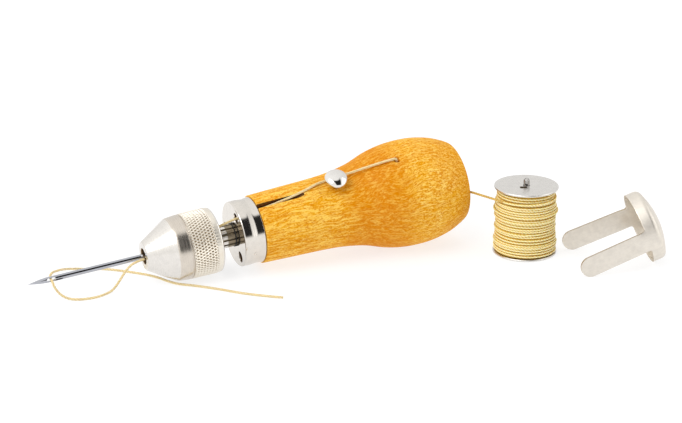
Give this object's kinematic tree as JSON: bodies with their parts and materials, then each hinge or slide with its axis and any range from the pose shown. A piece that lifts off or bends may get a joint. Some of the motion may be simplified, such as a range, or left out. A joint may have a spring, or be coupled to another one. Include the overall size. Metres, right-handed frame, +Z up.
{
  "type": "leather sewing awl set",
  "caption": "Hand sewing awl for leather: wooden bulb handle, knurled chuck, eyed needle and waxed thread, with its bobbin and end clip.",
  "frame": {"origin": "On the table, at the middle of the footprint of the set without its free thread", "axes": "+X along the awl, from the needle's tip to the open end of the handle; +Z up; the awl lies on its chuck and its bulb, tipped about 5 degrees"},
  "size_m": [0.2218, 0.0826, 0.0392],
  "materials": {
    "lacquered_wood": "gloss lacquer over honey-orange wood",
    "polished_nickel": "polished nickel plate",
    "turned_nickel": "turned, nickel plated",
    "flange_nickel": "satin nickel plate",
    "satin_nickel": "satin nickel plate",
    "dark_steel": "dark, as machined",
    "needle_steel": "hardened and polished, bluish",
    "brass": "turned",
    "black_ring": "matte",
    "waxed_thread": "waxed, cream-yellow, twisted"
  },
  "bodies": {
    "handle": {"wood_handle": "lacquered_wood", "ferrule": "polished_nickel", "tension_post": "polished_nickel", "fluted_post": "dark_steel", "post_ring": "black_ring", "threaded_stud": "satin_nickel", "thread_run": "waxed_thread", "thread_feed": "waxed_thread"},
    "needle_carrier": {"needle": "needle_steel", "needle_collet": "brass", "thread_in_chuck": "waxed_thread", "thread_tail": "waxed_thread"},
    "chuck": {"chuck_body": "turned_nickel", "chuck_bush": "brass"},
    "bobbin_axle": {"bobbin_pin": "polished_nickel"},
    "spool": {"bobbin_bottom_flange": "flange_nickel", "bobbin_top_flange": "flange_nickel", "bobbin_core": "satin_nickel", "thread_winding": "waxed_thread"},
    "clip": {"end_clip": "satin_nickel"}
  },
  "joints": [
    {"name": "needle_feed", "type": "slide", "parent": "handle", "child": "needle_carrier", "axis": [-0.9958, 0, -0.0915], "range_m": [0, 0.004]},
    {"name": "chuck_turn", "type": "hinge", "parent": "needle_carrier", "child": "chuck", "pos_m": [-0.03549, 0.02162, 0.01341], "axis": [-0.9958, 0, -0.0915], "range_deg": [0, 1440]},
    {"name": "bobbin_lift", "type": "slide", "parent": "handle", "child": "bobbin_axle", "axis": [0, 0, 1], "range_m": [0, 0.04], "deforming": ["thread_feed"]},
    {"name": "spool_spin", "type": "hinge", "parent": "bobbin_axle", "child": "spool", "pos_m": [0.06801, -0.00348, 0.0127], "axis": [0, 0, 1], "continuous": true},
    {"name": "clip_lift", "type": "slide", "parent": "handle", "child": "clip", "axis": [0, 0, 1], "range_m": [0, 0.04]}
  ],
  "couplings": [
    {"joint": "needle_feed", "follows": "chuck_turn", "m_per_rad": 0.00015915}
  ]
}
